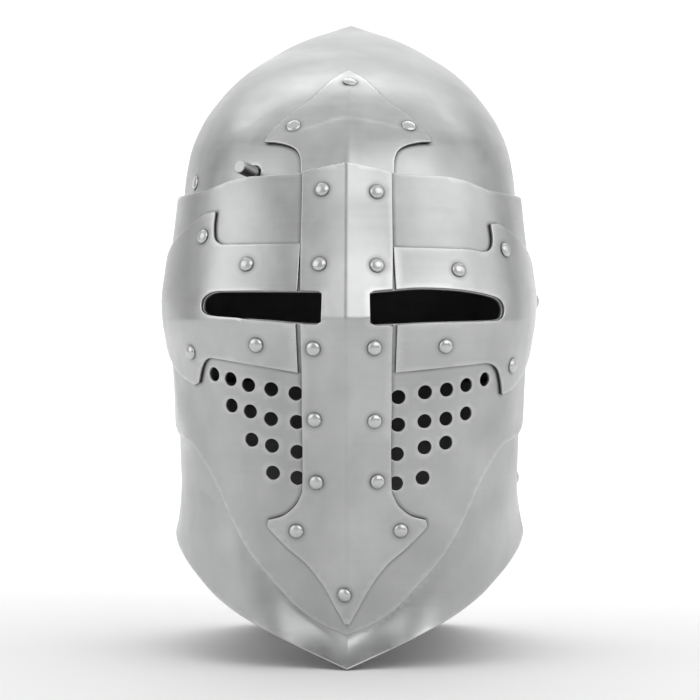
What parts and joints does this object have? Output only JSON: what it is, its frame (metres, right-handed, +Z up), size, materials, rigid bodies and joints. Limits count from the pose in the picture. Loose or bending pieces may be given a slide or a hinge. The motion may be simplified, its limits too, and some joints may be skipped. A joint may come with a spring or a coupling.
{
  "type": "great bascinet",
  "caption": "Closed steel helmet with a pointed skull, a lifting visor with a riveted cross, eye slots and breath holes, and flared throat plates.",
  "frame": {"origin": "on the surface that the helmet stands on, under the middle of its box", "axes": "+Z up through the crown, the face looks along -Y, the wearer's left is +X"},
  "size_m": [0.2466, 0.3042, 0.4095],
  "materials": {
    "plate_steel": "satin, hand polished",
    "cross_steel": "satin, a little brighter",
    "rivet_steel": "polished heads",
    "pin_steel": "turned, darker"
  },
  "bodies": {
    "helm": {"skull": "plate_steel", "neck_plate": "plate_steel", "bevor": "plate_steel", "brow_finial": "cross_steel", "pivot_left": "rivet_steel", "pivot_right": "rivet_steel", "rivet_brow_top": "rivet_steel", "rivet_brow_left": "rivet_steel", "rivet_brow_right": "rivet_steel", "rivet_throat_left_1": "rivet_steel", "rivet_throat_left_2": "rivet_steel", "rivet_throat_right_1": "rivet_steel", "rivet_throat_right_2": "rivet_steel", "rivet_skull_left": "rivet_steel", "rivet_nape_left_1": "rivet_steel", "rivet_nape_right_1": "rivet_steel", "rivet_nape_left_2": "rivet_steel", "rivet_nape_right_2": "rivet_steel"},
    "visor": {"visor": "plate_steel", "visor_upright": "cross_steel", "visor_arm_left": "cross_steel", "visor_arm_right": "cross_steel", "rivet_upright_left_1": "rivet_steel", "rivet_upright_right_1": "rivet_steel", "rivet_upright_left_2": "rivet_steel", "rivet_upright_right_2": "rivet_steel", "rivet_upright_left_3": "rivet_steel", "rivet_upright_right_3": "rivet_steel", "rivet_upright_left_4": "rivet_steel", "rivet_upright_right_4": "rivet_steel", "rivet_upright_left_5": "rivet_steel", "rivet_upright_right_5": "rivet_steel", "rivet_foot_left": "rivet_steel", "rivet_foot_right": "rivet_steel", "rivet_foot_point": "rivet_steel", "rivet_arm_left_1": "rivet_steel", "rivet_arm_left_2": "rivet_steel", "rivet_arm_right_1": "rivet_steel", "rivet_arm_right_2": "rivet_steel", "rivet_leaf_left_1": "rivet_steel", "rivet_leaf_left_2": "rivet_steel", "rivet_leaf_right_1": "rivet_steel", "rivet_leaf_right_2": "rivet_steel"},
    "catch": {"catch_pin": "pin_steel"}
  },
  "joints": [
    {"name": "visor_lift", "type": "hinge", "parent": "helm", "child": "visor", "pos_m": [0, 0.02612, 0.22154], "axis": [-1, 0, 0], "range_deg": [0, 40], "deforming": ["catch_pin"]},
    {"name": "catch_press", "type": "slide", "parent": "helm", "child": "catch", "axis": [0.5166, 0.8339, -0.1945], "range_m": [0, 0.012], "stiffness_N_per_m": 400, "springref_m": -0.005}
  ]
}
